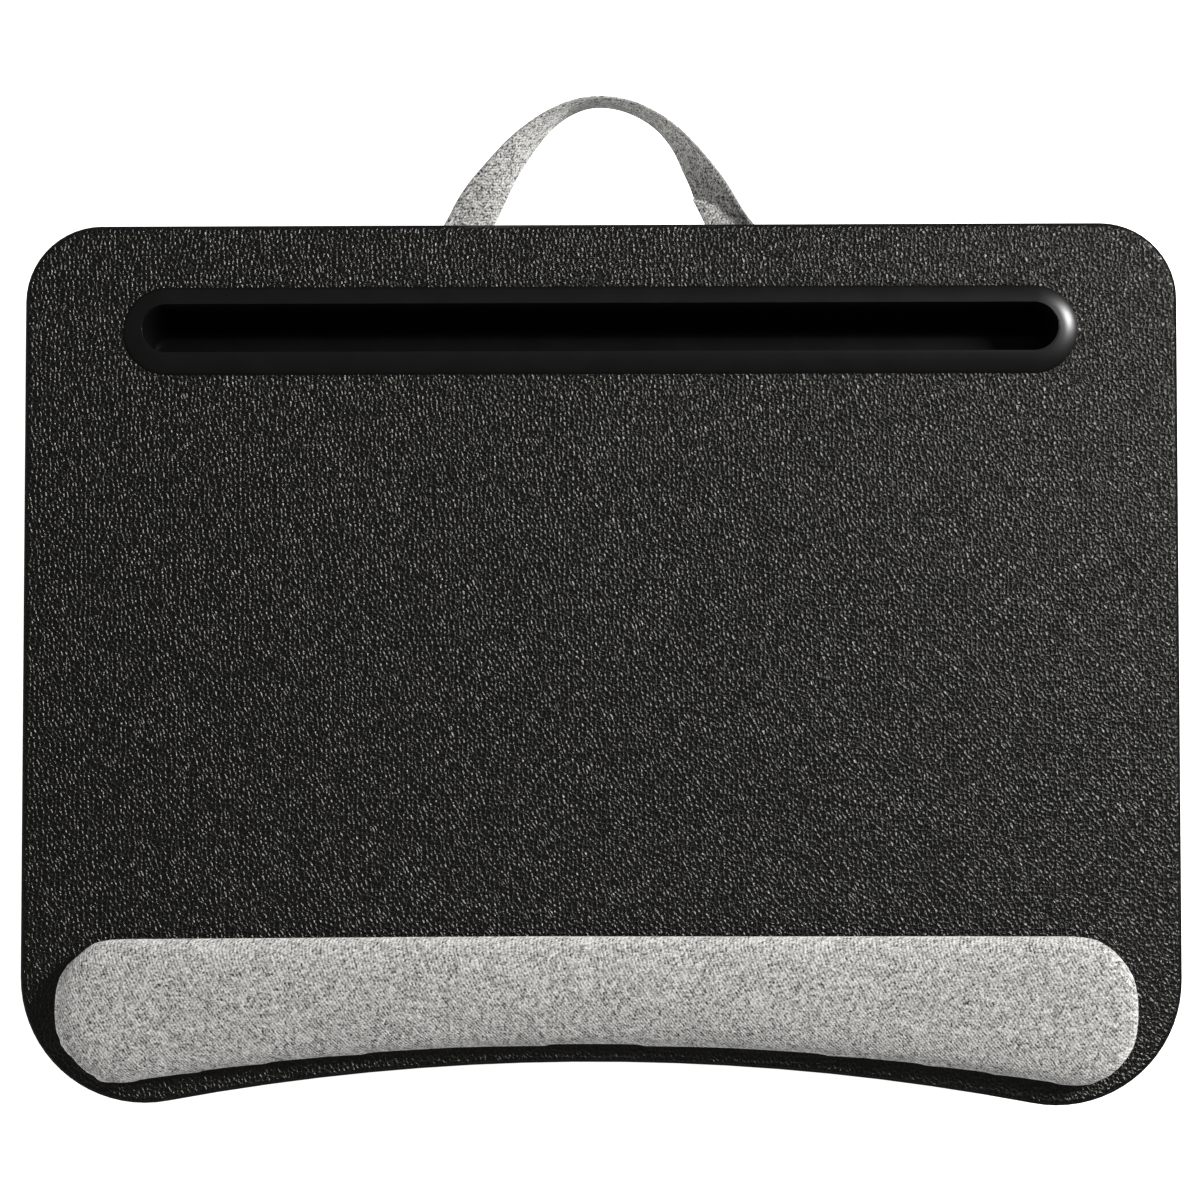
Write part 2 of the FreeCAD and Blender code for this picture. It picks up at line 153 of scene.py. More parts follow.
class CushionSettings(bpy.types.PropertyGroup):
    """Two-lobed lap cushion under the deck."""

    light_yarn: FloatVectorProperty(
        name="Light yarn", description="Lightest yarn of the cushion's cloth", subtype="COLOR",
        min=0, max=1, default=(0.060, 0.060, 0.063),
    )
    dark_yarn: FloatVectorProperty(
        name="Dark yarn", description="Darkest yarn of the cushion's cloth", subtype="COLOR",
        min=0, max=1, default=(0.012, 0.012, 0.013),
    )
    voxel: FloatProperty(
        name="Voxel", description="Voxel size of a lobe before it swells", unit="LENGTH",
        precision=4, default=5.0 * MM,
    )
    pressure: FloatProperty(
        name="Pressure", description="Pressure that swells a lobe", default=4.0,
    )
    swell: FloatProperty(
        name="Swell", description="Most that the cloth may move as it swells", unit="LENGTH",
        precision=4, default=6.0 * MM,
    )
    pucker: FloatProperty(
        name="Pucker", description="Depth of the gathers along the sewn edge", unit="LENGTH",
        precision=4, default=0.9 * MM,
    )
    stitch_spacing: FloatProperty(
        name="Stitch spacing", description="From one stitch to the next", unit="LENGTH",
        precision=4, default=4.2 * MM,
    )
    stitch_length: FloatProperty(
        name="Stitch length", description="Length of one stitch", unit="LENGTH",
        precision=4, default=3.0 * MM,
    )
    stitch_width: FloatProperty(
        name="Stitch width", description="Thickness of the thread", unit="LENGTH",
        precision=5, default=0.6 * MM,
    )
    seed: IntProperty(name="Seed", description="Seed of the stitches' unevenness", default=7)


class StrapSettings(bpy.types.PropertyGroup):
    """Cloth carrying strap."""

    width: FloatProperty(
        name="Width", description="Width of the strap", unit="LENGTH", precision=4, default=16.8 * MM,
    )
    thickness: FloatProperty(
        name="Thickness", description="Thickness of the strap", unit="LENGTH", precision=4,
        default=END_HIGH.z - END_LOW.z,
    )
    span: FloatProperty(
        name="Span", description="Between the middles of the strap's two ends", unit="LENGTH", precision=4,
        default=97.0 * MM,
    )
    sections: IntProperty(
        name="Sections", description="Sections along the loop", default=400,
    )


class StageSettings(bpy.types.PropertyGroup):
    """Floor, lights and camera."""

    camera_distance: FloatProperty(
        name="Camera distance", description="From the deck's middle to the lens", unit="LENGTH",
        default=1.06,
    )
    frame_width: FloatProperty(
        name="Frame width", description="Width of the picture at the deck", unit="LENGTH", precision=4,
        default=445.5 * MM,
    )
    lean_front: FloatProperty(
        name="Front lean", description="How far the camera stands to the front of straight above",
        subtype="ANGLE", default=math.radians(2.3),
    )
    lean_right: FloatProperty(
        name="Right lean", description="How far the camera stands to the right of straight above",
        subtype="ANGLE", default=math.radians(1.2),
    )
    floor_colour: FloatVectorProperty(
        name="Floor", description="Colour of the floor", subtype="COLOR", min=0, max=1,
        default=(0.92, 0.92, 0.92),
    )


class LapTraySettings(bpy.types.PropertyGroup):
    """All settings of the lap tray."""

    deck: PointerProperty(type=DeckSettings)
    wrist_rest: PointerProperty(type=WristRestSettings)
    cushion: PointerProperty(type=CushionSettings)
    strap: PointerProperty(type=StrapSettings)
    stage: PointerProperty(type=StageSettings)


# Shader maths

class Wire:
    """One output socket of a material. Arithmetic on values adds Math nodes."""

    def __init__(self, tree, socket):
        self.tree = tree
        self.socket = socket

    def node(self, kind, settings, inputs, output=0):
        """Adds a node of one type, sets it up, then gives its sockets their values or links."""
        node = self.tree.nodes.new(kind)
        for name, value in settings.items():
            if name == "stops":
                set_stops(node.color_ramp, value)
            else:
                setattr(node, name, value)
        for name, value in inputs.items():
            if isinstance(value, Wire):
                self.tree.links.new(value.socket, node.inputs[name])
            else:
                node.inputs[name].default_value = value
        return Wire(self.tree, node.outputs[output])

    def maths(self, operation, first, second):
        return self.node("ShaderNodeMath", {"operation": operation}, {0: first, 1: second})

    def __add__(self, other):
        return self.maths("ADD", self, other)

    def __radd__(self, other):
        return self.maths("ADD", other, self)

    def __sub__(self, other):
        return self.maths("SUBTRACT", self, other)

    def __rsub__(self, other):
        return self.maths("SUBTRACT", other, self)

    def __mul__(self, other):
        return self.maths("MULTIPLY", self, other)

    def __rmul__(self, other):
        return self.maths("MULTIPLY", other, self)

    def __truediv__(self, other):
        return self.maths("DIVIDE", self, other)

    def along(self, direction):
        """How far a place lies along a direction."""
        settings = {"operation": "DOT_PRODUCT"}
        return self.node("ShaderNodeVectorMath", settings, {0: self, 1: direction}, "Value")

    def noise(self, size, detail=2.0):
        """Soft noise with lumps of about one size."""
        settings = {"noise_dimensions": "3D"}
        inputs = {"Vector": self, "Scale": 1 / size, "Detail": detail}
        return self.node("ShaderNodeTexNoise", settings, inputs, "Fac")

    def step(self, low, high):
        """0 below low, 1 above high, and smooth between them."""
        settings = {"interpolation_type": "SMOOTHSTEP"}
        return self.node("ShaderNodeMapRange", settings, {"Value": self, "From Min": low, "From Max": high})

    def ramp(self, stops):
        """Colour for a value from 0 to 1."""
        return self.node("ShaderNodeValToRGB", {"stops": stops}, {"Fac": self}, "Color")


def set_stops(ramp, stops):
    while len(ramp.elements) < len(stops):
        ramp.elements.new(1.0)
    for element, (position, colour) in zip(ramp.elements, stops):
        element.position = position
        element.color = (*colour, 1.0)


def new_material(name):
    """A material, its shader and the wire of its piece's own coordinates."""
    material = bpy.data.materials.new(name)
    material.use_nodes = True
    tree = material.node_tree
    place = Wire(tree, tree.nodes.new("ShaderNodeTexCoord").outputs["Object"])
    return material, tree.nodes["Principled BSDF"], place


def dress(shader, colour, roughness, height, depth):
    """Feeds a shader with its colour, its roughness and a relief of one depth."""
    tree = height.tree
    relief = height.node("ShaderNodeBump", {}, {"Height": height, "Distance": depth}, "Normal")
    tree.links.new(colour.socket, shader.inputs["Base Color"])
    tree.links.new(roughness.socket, shader.inputs["Roughness"])
    tree.links.new(relief.socket, shader.inputs["Normal"])


def tinted(colour, share):
    """A colour at a share of its strength."""
    return tuple(min(channel * share, 1.0) for channel in colour)


def between(first, second, share):
    return tuple(a + (b - a) * share for a, b in zip(first, second))


def leatherette():
    """Black grained leatherette, stretched smooth round the deck's edges."""
    deck = bpy.context.scene.lap_tray.deck
    material, shader, place = new_material("leatherette")
    scale = (1 / deck.grain_width, 1 / deck.grain_length, 1 / deck.grain_width)
    cells = place.node("ShaderNodeVectorMath", {"operation": "MULTIPLY"}, {0: place, 1: scale}, "Vector")
    sway = cells.node("ShaderNodeTexNoise", {}, {"Vector": cells, "Scale": 0.5, "Detail": 2.0}, "Color")
    bent_inputs = {0: sway, 1: (1.2, 1.2, 0.0), 2: cells}
    bent = sway.node("ShaderNodeVectorMath", {"operation": "MULTIPLY_ADD"}, bent_inputs, "Vector")
    net_settings = {"voronoi_dimensions": "2D", "feature": "DISTANCE_TO_EDGE"}
    net_inputs = {"Vector": bent, "Scale": 1.0, "Randomness": 0.85}
    inside = bent.node("ShaderNodeTexVoronoi", net_settings, net_inputs, "Distance")
    ridge = 1 - inside.step(0.0, 0.35)
    height_above = place.along((0, 0, 1))
    on_top = height_above.step(DECK_HIGH.z - 0.9 * MM, DECK_HIGH.z - 0.05 * MM)
    crumple = cells.node("ShaderNodeTexNoise", {}, {"Vector": cells, "Scale": 2.4, "Detail": 2.0}, "Fac")
    patches = place.noise(14 * MM)
    relief = (ridge + crumple * 1.1) * (on_top * 0.97 + 0.03)
    # Painted shade and highlight: the grain's hollows are coloured darker and its ridges lighter, as light
    # would fall on them, mixed with random patches of tone; the smooth edges get the hollows' dark colour.
    dark, light = tinted(deck.colour, 0.12), tinted(deck.colour, 0.9)
    patches_and_painted_grain_shade = (ridge * 0.85 + patches * 0.15) * on_top
    colour = patches_and_painted_grain_shade.ramp([(0.1, dark), (0.8, light)])
    roughness = 0.26 + (patches * 0.06 + 0.03) * on_top
    dress(shader, colour, roughness, relief, deck.grain_depth)
    shader.inputs["Specular IOR Level"].default_value = 0.58
    shader.inputs["Specular Tint"].default_value = (1.0, 0.97, 0.91, 1.0)
    return material


def slot_plastic():
    """Black moulded plastic: a dull trough and a glossier rim."""
    deck = bpy.context.scene.lap_tray.deck
    material, shader, place = new_material("slot_plastic")
    fine = place.noise(0.35 * MM, 2.0)
    broad = place.noise(9 * MM)
    colour = broad.ramp([(0.3, tinted(deck.plastic_colour, 0.8)), (0.7, tinted(deck.plastic_colour, 1.25))])
    dress(shader, colour, 0.36 + fine * 0.05 + broad * 0.04, fine, 0.02 * MM)
    on_rim = place.along((0, 0, 1)).step(DECK_HIGH.z, DECK_HIGH.z + 1 * MM)
    on_rim.tree.links.new(on_rim.socket, shader.inputs["Coat Weight"])
    shader.inputs["Specular IOR Level"].default_value = 0.2
    shader.inputs["Coat Roughness"].default_value = 0.31
    shader.inputs["Coat IOR"].default_value = 1.39
    return material


def woven_cloth(name, light, dark, width, length, follows_strap=False):
    """Melange twill: short floats of lighter and darker yarn in slanting lines."""
    material, shader, place = new_material(name)
    lines, contrast = 0.28, 1.0
    if follows_strap:
        place = place.node("ShaderNodeUVMap", {"uv_map": "run"}, {}, "UV")
        lines, contrast = 0.14, 1.4
    waver = place.noise(4 * width)
    across = place.along((0.84, 0.54, 0.50)) / width + waver
    run = place.along((0.54, -0.84, 0.60)) / length
    grid = across.node("ShaderNodeCombineXYZ", {}, {"X": across, "Y": run, "Z": 0.0}, "Vector")
    inputs = {"Vector": grid, "Scale": 1.0, "Randomness": 0.8}
    yarn = grid.node("ShaderNodeTexVoronoi", {"voronoi_dimensions": "2D"}, inputs, "Color")
    chance = yarn.along((1, 0, 0))
    rib = across.maths("PINGPONG", across, 0.5) * 2
    fibre = place.noise(width * 0.68, 2.0)
    cloud = place.noise(22 * MM)
    yarns = rib * lines + chance * 0.34 + fibre * 1.7 + cloud * 0.06
    tone = (yarns - 1.04 - lines / 2) * contrast + 0.5
    stops = [
        (0.05, dark),
        (0.40, between(dark, light, 0.44)),
        (0.62, between(dark, light, 0.68)),
        (0.95, light),
    ]
    dress(shader, tone.ramp(stops), 0.86 + fibre * 0.1, rib * 0.35 + fibre * 1.2, 0.3 * MM)
    shader.inputs["Diffuse Roughness"].default_value = 1.0
    shader.inputs["Sheen Weight"].default_value = 0.12
    shader.inputs["Specular IOR Level"].default_value = 0.25
    return material


def raw_material(name, light, dark, size):
    """Plain unfinished stock that the other pieces hide: board and adhesive."""
    material, shader, place = new_material(name)
    chips = place.noise(size, 4.0)
    dress(shader, chips.ramp([(0.3, dark), (0.7, light)]), 0.7 + chips * 0.2, chips, 0.05 * MM)
    return material


def thread():
    """Twisted sewing thread."""
    cushion = bpy.context.scene.lap_tray.cushion
    material, shader, place = new_material("thread")
    twist = place.noise(0.3 * MM)
    colour = twist.ramp([(0.3, cushion.light_yarn), (0.7, tinted(cushion.light_yarn, 2.2))])
    dress(shader, colour, 0.5 + twist * 0.2, twist, 0.05 * MM)
    return material


# Meshes

def add_piece(name, mesh, material):
    """A new object at the origin that carries a mesh with one material."""
    piece = bpy.data.objects.new(name, mesh)
    bpy.context.scene.collection.objects.link(piece)
    mesh.materials.clear()
    mesh.materials.append(material)
    return piece


def merged_copy(name, *nodes):
    """The shapes of some CAD nodes as one mesh, with their triangles joined into whole faces."""
    whole = bmesh.new()
    for node in nodes:
        whole.from_mesh(frame["nodes"][node].data)
    bmesh.ops.remove_doubles(whole, verts=whole.verts, dist=MERGE_DISTANCE)
    bmesh.ops.dissolve_limit(whole, angle_limit=FLAT_ANGLE, verts=whole.verts, edges=whole.edges)
    mesh = bpy.data.meshes.new(name)
    whole.to_mesh(mesh)
    whole.free()
    return mesh


def apply_modifiers(piece):
    """Gives a piece its finished mesh and takes its modifiers off."""
    graph = bpy.context.evaluated_depsgraph_get()
    mesh = bpy.data.meshes.new_from_object(piece.evaluated_get(graph), depsgraph=graph)
    material = piece.data.materials[0]
    piece.modifiers.clear()
    piece.data = mesh
    mesh.materials.clear()
    mesh.materials.append(material)


def smooth_edges(piece, edge_round, segments):
    """Rounds a piece's sharp edges and shades it smooth, its flat faces staying flat."""
    if edge_round > 0:
        bevel = piece.modifiers.new("edge_round", "BEVEL")
        bevel.width = edge_round
        bevel.segments = segments
        bevel.limit_method = "ANGLE"
        bevel.angle_limit = SHARP_ANGLE
        apply_modifiers(piece)
    piece.data.shade_smooth()
    piece.data.set_sharp_from_angle(angle=SHARP_ANGLE)
    weighted = piece.modifiers.new("weighted_normals", "WEIGHTED_NORMAL")
    weighted.keep_sharp = True
    return piece


def remeshed(piece, voxel, rounds):
    """Gives a piece an even mesh of one voxel size, eased by some rounds of smoothing."""
    modifier = piece.modifiers.new("voxels", "REMESH")
    modifier.mode = "VOXEL"
    modifier.voxel_size = voxel
    eased = piece.modifiers.new("eased", "SMOOTH")
    eased.factor = 0.5
    eased.iterations = rounds
    apply_modifiers(piece)


def swell(piece, held, pressure, most):
    """Swells a closed mesh like stuffed cloth. `held` tells how firmly a place is sewn down, 0 to 1."""
    rest = [vertex.co.copy() for vertex in piece.data.vertices]
    sewn = piece.vertex_groups.new(name="sewn")
    for index, place in enumerate(rest):
        sewn.add([index], held(place), "REPLACE")
    cloth = piece.modifiers.new("cloth", "CLOTH")
    cloth.settings.vertex_group_mass = sewn.name
    cloth.settings.use_pressure = True
    cloth.settings.uniform_pressure_force = pressure
    cloth.settings.effector_weights.gravity = 0
    cloth.collision_settings.use_collision = False
    cloth.point_cache.frame_end = SIM_FRAMES
    for step in range(1, SIM_FRAMES + 1):
        bpy.context.scene.frame_set(step)
    apply_modifiers(piece)
    bpy.context.scene.frame_set(1)
    for vertex, start in zip(piece.data.vertices, rest):
        move = vertex.co - start
        if move.length > most:
            vertex.co = start + move.normalized() * most
    piece.vertex_groups.clear()


def subdivide(piece):
    modifier = piece.modifiers.new("subdivided", "SUBSURF")
    modifier.levels = 1
    modifier.render_levels = 1
    apply_modifiers(piece)
    piece.data.shade_smooth()


def surface(mesh):
    """A mesh's faces, to be met by rays."""
    return BVHTree.FromPolygons([v.co for v in mesh.vertices], [p.vertices for p in mesh.polygons])


def ease(value, low, high):
    """0 at low, 1 at high, and smooth between them."""
    share = min(max((value - low) / (high - low), 0), 1)
    return share * share * (3 - 2 * share)


# Deck and slot

class LAPTRAY_OT_deck(bpy.types.Operator):
    """Wraps the deck in leatherette and dresses the board and the adhesive that the other pieces hide"""

    bl_idname = "laptray.deck"
    bl_label = "Deck"

    def execute(self, context):
        wrap = add_piece("deck_wrap", merged_copy("deck_wrap", "deck_skin"), leatherette())
        smooth_edges(wrap, 0, 0)
        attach(wrap, "tray")
        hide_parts("deck_skin")
        board = raw_material("fibreboard", (0.46, 0.34, 0.22), (0.33, 0.23, 0.14), 0.8 * MM)
        adhesive = raw_material("adhesive_sheet", (0.78, 0.75, 0.66), (0.66, 0.62, 0.52), 3 * MM)
        dressed = {"deck_board": board, "wrist_rest_base": board, "wrist_rest_tape": adhesive}
        for node, material in dressed.items():
            mesh = frame["nodes"][node].data
            mesh.materials.clear()
            mesh.materials.append(material)
        return {"FINISHED"}


class LAPTRAY_OT_slot(bpy.types.Operator):
    """Finishes the moulded tablet slot: softened edges and satin plastic"""

    bl_idname = "laptray.slot"
    bl_label = "Tablet slot"

    def execute(self, context):
        deck = context.scene.lap_tray.deck
        slot = add_piece("tablet_slot", merged_copy("tablet_slot", "slot_insert"), slot_plastic())
        smooth_edges(slot, deck.slot_edge_round, 2)
        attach(slot, "tray")
        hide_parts("slot_insert")
        return {"FINISHED"}


# Wrist rest

REST_TUCK_HEIGHT = 1.2 * MM
REST_HOLD_BAND = 1.5 * MM     # over which the sewn foot lets go of the cloth
REST_END_RADIUS = 25 * MM
REST_SHRINK = 1.0 * MM
REST_LIFT = 0.05 * MM         # off the deck
BASE_GAP = 0.15 * MM          # between the stiff base and the pad on it
PUCKERS = 17
PUCKER_START, PUCKER_FULL = 0, math.radians(30)       # round the left front corner, from its side
PUCKER_FADE, PUCKER_END = math.radians(70), math.radians(90)
REAR_FACET = Vector((-0.65, 0.76, 0))
REAR_REACH = 23.9 * MM
REAR_TAPER = 1.6 * MM         # how far the rear edge falls back towards the left end
FRONT_FACET = Vector((-0.71, -0.71, 0))
FRONT_REACH = 23.6 * MM
FACET_PRESS = 0.85            # share of what stands over a facet that is pressed in
REST_OFFSET = -1.4 * MM       # the rest is glued on a little left of the middle


def fit_to(piece, low, high):
    """Stretches a mesh so that its box becomes the given one."""
    places = [vertex.co for vertex in piece.data.vertices]
    old_low = Vector(min(p[i] for p in places) for i in range(3))
    old_high = Vector(max(p[i] for p in places) for i in range(3))
    scale = [(high[i] - low[i]) / (old_high[i] - old_low[i]) for i in range(3)]
    for place in places:
        place[:] = [low[i] + (place[i] - old_low[i]) * scale[i] for i in range(3)]


def gather_left_end(piece, depth):
    """Tapers the rest, puckers its cloth round the left front corner and flattens both left corners."""
    left = REST_LOW.x + REST_OFFSET + REST_END_RADIUS
    rear = Vector((left, REST_HIGH.y - REST_END_RADIUS, 0))
    front = Vector((left, REST_LOW.y + REST_END_RADIUS, 0))
    facets = ((rear, REAR_FACET, REAR_REACH), (front, FRONT_FACET, FRONT_REACH))
    for vertex in piece.data.vertices:
        to_rear = ease(vertex.co.y, REST_LOW.y + REST_END_RADIUS, REST_HIGH.y)
        vertex.co.y -= REAR_TAPER * to_rear * ease(-vertex.co.x, 0, -REST_LOW.x)
        place = vertex.co - front
        place.z = 0
        turn = math.atan2(-place.y, -place.x)
        if place.x < 0 and place.y < 0:
            at_corner = ease(turn, PUCKER_START, PUCKER_FULL) * (1 - ease(turn, PUCKER_FADE, PUCKER_END))
            reach = ease(place.length, 0.6 * REST_END_RADIUS, REST_END_RADIUS)
            wave = 0.5 + 0.5 * math.cos(PUCKERS * turn)
            vertex.co -= place.normalized() * (depth * at_corner * reach * wave**2)
        for origin, outward, limit in facets:
            over = (vertex.co - origin).dot(outward) - limit
            if vertex.co.x < left and over > 0:
                vertex.co -= outward * (over * FACET_PRESS)


def lift_over_base(piece):
    """Lifts the underside of the pad on to its stiff base, and keeps the rest of it off the deck."""
    base_tree = surface(frame["nodes"]["wrist_rest_base"].data)
    seat = BASE_HIGH.z + BASE_GAP
    down = Vector((0, 0, -1))
    for vertex in piece.data.vertices:
        over_base = base_tree.ray_cast(Vector((vertex.co.x, vertex.co.y, REST_HIGH.z)), down)[0]
        vertex.co.z = max(vertex.co.z, seat if over_base else REST_LOW.z + REST_LIFT)


class LAPTRAY_OT_wrist_rest(bpy.types.Operator):
    """Swells the wrist rest from its foam and covers it in grey twill"""

    bl_idname = "laptray.wrist_rest"
    bl_label = "Wrist rest"

    def execute(self, context):
        rest = context.scene.lap_tray.wrist_rest
        cloth = woven_cloth("grey_cloth", rest.light_yarn, rest.dark_yarn, rest.yarn_width, rest.yarn_float)
        pad = add_piece("wrist_rest", merged_copy("wrist_rest", "wrist_rest_foam"), cloth)
        inset = Vector((REST_SHRINK, REST_SHRINK, REST_SHRINK))
        low = REST_LOW + inset
        low.z = REST_LOW.z + 2 * REST_LIFT
        fit_to(pad, low, REST_HIGH - inset)
        remeshed(pad, rest.voxel, 4)
        fit_to(pad, low, REST_HIGH - inset)
        foot = REST_LOW.z + REST_TUCK_HEIGHT
        let_go = foot + REST_HOLD_BAND
        swell(pad, lambda place: 1 - ease(place.z, foot, let_go), rest.pressure, rest.swell)
        subdivide(pad)
        shift = Vector((REST_OFFSET, 0, 0))
        fit_to(pad, REST_LOW + shift + Vector((0, 0, REST_LIFT)), REST_HIGH + shift)
        gather_left_end(pad, rest.pucker)
        lift_over_base(pad)
        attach(pad, "tray")
        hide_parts("wrist_rest_cover", "wrist_rest_foam")
        return {"FINISHED"}


# Lap cushion

SLOT_LOW, SLOT_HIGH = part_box("slot_insert")
SEAM_BAND = 7 * MM
GATHER_PITCH = 13 * MM
GATHER_RADIUS = 190 * MM
# Below the cover's upper edge: where the gathers start, and where they are full
GATHER_LOW, GATHER_HIGH = 22 * MM, 6 * MM
CENTRE_BAND = 5 * MM
CENTRE_GAP = 0.02 * MM        # each side of the seam between the lobes
CENTRE_PULL = 1.8 * MM        # how far that seam draws the lobes together
SLOT_RIM = 7.5 * MM           # what the slot's rim stands out over its trough
POCKET_MARGIN = 5 * MM
POCKET_GAP = 2.6 * MM
LOBE_YARN, LOBE_FLOAT = 1.2 * MM, 1.6 * MM
LOBE_INSET_LOW = Vector((1, 1, 1)) * MM
LOBE_INSET_HIGH = Vector((1, 1, 0.5)) * MM
PANEL_ROUND = 1.2 * MM
SEAM_RISE = 1.1 * MM          # stitches over the cover's upper edge, on the edge of the panel
SEAM_PLACES = 900
STITCH_LIFT = 0.1 * MM
OUTSIDE = 0.4                 # farther from the cushion's middle than any of its edges


def under_slot(place, margin):
    """Whether a place lies under the tablet slot's trough or within a margin of it."""
    beside = abs(place.x) < SLOT_HIGH.x - SLOT_RIM + margin
    return beside and SLOT_LOW.y - margin < place.y < SLOT_HIGH.y - SLOT_RIM + margin


def gather_seam(piece, depth):
    """Small gathers under the seam that joins a lobe to the panel."""
    top = COVER_HIGH.z
    middle = Vector((0, (COVER_LOW.y + COVER_HIGH.y) / 2, 0))
    normals = [vertex.normal.copy() for vertex in piece.data.vertices]
    for vertex, normal in zip(piece.data.vertices, normals):
        place = vertex.co
        level = ease(place.z, top - GATHER_LOW, top - GATHER_HIGH)
        if level == 0 or abs(normal.z) > 0.85:
            continue
        around = math.atan2(place.y - middle.y, place.x) * GATHER_RADIUS / GATHER_PITCH
        wave = noise.noise(Vector((around * 2.2, place.z * 40, 3.1)))
        vertex.co = place + normal * (depth * level * wave)


def settle(piece):
    """Flattens a lobe where it stands, keeps it clear of the slot and draws it to the centre seam."""
    side = math.copysign(1, sum(vertex.co.x for vertex in piece.data.vertices))
    for vertex in piece.data.vertices:
        ceiling = SLOT_LOW.z - POCKET_GAP if under_slot(vertex.co, POCKET_MARGIN) else COVER_HIGH.z
        vertex.co.z = min(max(vertex.co.z, 0.0), ceiling)
        out = vertex.co.x * side
        pull = CENTRE_PULL * (1 - ease(out, CENTRE_BAND / 2, 2 * CENTRE_BAND))
        vertex.co.x = max(out - pull, CENTRE_GAP) * side


def seam_path(name, places):
    """A closed line through some places, as a curve object."""
    curve = bpy.data.curves.new(name, "CURVE")
    curve.dimensions = "3D"
    spline = curve.splines.new("POLY")
    spline.points.add(len(places) - 1)
    spline.use_cyclic_u = True
    for point, place in zip(spline.points, places):
        point.co = (*place, 1.0)
    path = bpy.data.objects.new(name, curve)
    bpy.context.scene.collection.objects.link(path)
    return path


def stitch_tree():
    """Geometry nodes that sew evenly spaced stitches along a line."""
    tree = bpy.data.node_groups.new("Seam stitches", "GeometryNodeTree")
    face = tree.interface
    face.new_socket("Geometry", in_out="INPUT", socket_type="NodeSocketGeometry")
    for name in ("Spacing", "Stitch length", "Stitch width"):
        face.new_socket(name, in_out="INPUT", socket_type="NodeSocketFloat")
    face.new_socket("Seed", in_out="INPUT", socket_type="NodeSocketInt")
    face.new_socket("Thread", in_out="INPUT", socket_type="NodeSocketMaterial")
    face.new_socket("Geometry", in_out="OUTPUT", socket_type="NodeSocketGeometry")
    given = tree.nodes.new("NodeGroupInput").outputs

    def add(kind, inputs, **settings):
        node = tree.nodes.new(kind)
        for name, value in settings.items():
            setattr(node, name, value)
        for name, value in inputs.items():
            if isinstance(value, bpy.types.NodeSocket):
                tree.links.new(value, node.inputs[name])
            else:
                node.inputs[name].default_value = value
        return node.outputs

    points = add(
        "GeometryNodeCurveToPoints",
        {0: given["Geometry"], "Length": given["Spacing"]},
        mode="LENGTH",
    )
    stitch = add("GeometryNodeMeshUVSphere", {"Segments": 8, "Rings": 5, "Radius": 0.5})
    size = add(
        "ShaderNodeCombineXYZ",
        {"X": given["Stitch width"], "Y": given["Stitch width"], "Z": given["Stitch length"]},
    )
    uneven = add(
        "FunctionNodeRandomValue",
        {0: (0.9, 0.9, 0.85), 1: (1.1, 1.1, 1.1), "Seed": given["Seed"]},
        data_type="FLOAT_VECTOR",
    )
    scale = add("ShaderNodeVectorMath", {0: size["Vector"], 1: uneven[0]}, operation="MULTIPLY")
    sewn = add(
        "GeometryNodeInstanceOnPoints",
        {
            "Points": points["Points"],
            "Instance": stitch["Mesh"],
            "Rotation": points["Rotation"],
            "Scale": scale["Vector"],
        },
    )
    real = add("GeometryNodeRealizeInstances", {0: sewn["Instances"]})
    dressed = add("GeometryNodeSetMaterial", {0: real["Geometry"], "Material": given["Thread"]})
    tree.links.new(dressed["Geometry"], tree.nodes.new("NodeGroupOutput").inputs[0])
    return tree


def sew(name, places, tree, material):
    """Stitches along a line, as a plain mesh."""
    cushion = bpy.context.scene.lap_tray.cushion
    path = seam_path(name + "_line", places)
    modifier = path.modifiers.new("stitches", "NODES")
    modifier.node_group = tree
    values = {
        "Spacing": cushion.stitch_spacing,
        "Stitch length": cushion.stitch_length,
        "Stitch width": cushion.stitch_width,
        "Seed": cushion.seed,
        "Thread": material,
    }
    for item in tree.interface.items_tree:
        if item.in_out == "INPUT" and item.name in values:
            modifier[item.identifier] = values[item.name]
    graph = bpy.context.evaluated_depsgraph_get()
    mesh = bpy.data.meshes.new_from_object(path.evaluated_get(graph), depsgraph=graph)
    line = path.data
    bpy.data.objects.remove(path)
    bpy.data.curves.remove(line)
    mesh.shade_smooth()
    return add_piece(name, mesh, material)


def edge_line(piece, height, count):
    """Places round the outside of a piece at one height, a hair off its cloth."""
    tree = surface(piece.data)
    middle = Vector((0, (COVER_LOW.y + COVER_HIGH.y) / 2, height))
    places = []
    for i in range(count):
        turn = 2 * math.pi * i / count
        outward = Vector((math.cos(turn), math.sin(turn), 0))
        hit = tree.ray_cast(middle + outward * OUTSIDE, -outward)[0]
        if hit is None:
            raise RuntimeError(f"{piece.name} has no edge at height {height}")
        places.append(hit + outward * STITCH_LIFT)
    return places


